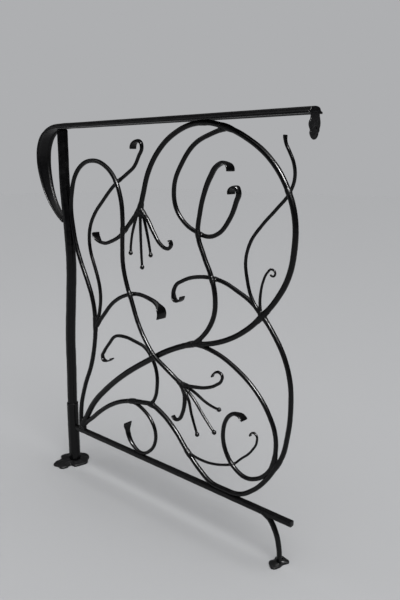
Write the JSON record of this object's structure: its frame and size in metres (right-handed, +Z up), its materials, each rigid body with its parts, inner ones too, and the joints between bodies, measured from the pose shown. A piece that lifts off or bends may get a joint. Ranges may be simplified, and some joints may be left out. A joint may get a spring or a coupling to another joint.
{
  "type": "wrought iron railing panel",
  "caption": "Forged iron railing panel: moulded cap rail with a lamb's tongue, octagonal post, bottom rail on a curved leg, and welded vine scrolls with lilies",
  "frame": {"origin": "on the floor, in the middle of the underside of the base plate, under the post", "axes": "+X along the rails from the post to the wall bracket, +Y through the panel from its front, +Z up"},
  "size_m": [0.837, 0.1044, 0.914],
  "materials": {
    "forged_bar": "satin black paint over hammered mild steel bar",
    "rolled_rail": "satin black paint over rolled moulded steel",
    "hammered_plate": "satin black paint over hammered plate, rubbed grey on the high spots",
    "weld": "black paint over rough ground weld"
  },
  "bodies": {
    "root": {"arching_leaf": "forged_bar", "bottom_rail": "forged_bar", "branch_weld": "weld", "cap_rail": "rolled_rail", "cross_tendril": "forged_bar", "foot_plate": "hammered_plate", "left_loop": "forged_bar", "left_tendril": "forged_bar", "left_weld": "weld", "leg": "forged_bar", "long_tendril": "forged_bar", "low_tendril": "forged_bar", "lower_curve": "forged_bar", "lower_left_spiral": "forged_bar", "lower_lily_collar": "weld", "lower_lily_left_petal": "forged_bar", "lower_lily_left_stamen": "forged_bar", "lower_lily_middle_stamen": "forged_bar", "lower_lily_right_petal": "forged_bar", "lower_lily_right_stamen": "forged_bar", "main_loop": "forged_bar", "main_stem": "forged_bar", "node_leaf": "forged_bar", "post": "forged_bar", "post_base_plate": "hammered_plate", "post_socket": "forged_bar", "right_spiral": "forged_bar", "right_weld": "weld", "root_weld": "weld", "short_tendril": "forged_bar", "upper_lily_collar": "weld", "upper_lily_left_petal": "forged_bar", "upper_lily_left_stamen": "forged_bar", "upper_lily_middle_stamen": "forged_bar", "upper_lily_right_petal": "forged_bar", "upper_lily_right_stamen": "forged_bar", "upper_spiral": "forged_bar", "upright_leaf": "forged_bar", "wall_bracket": "hammered_plate"}
  },
  "joints": []
}
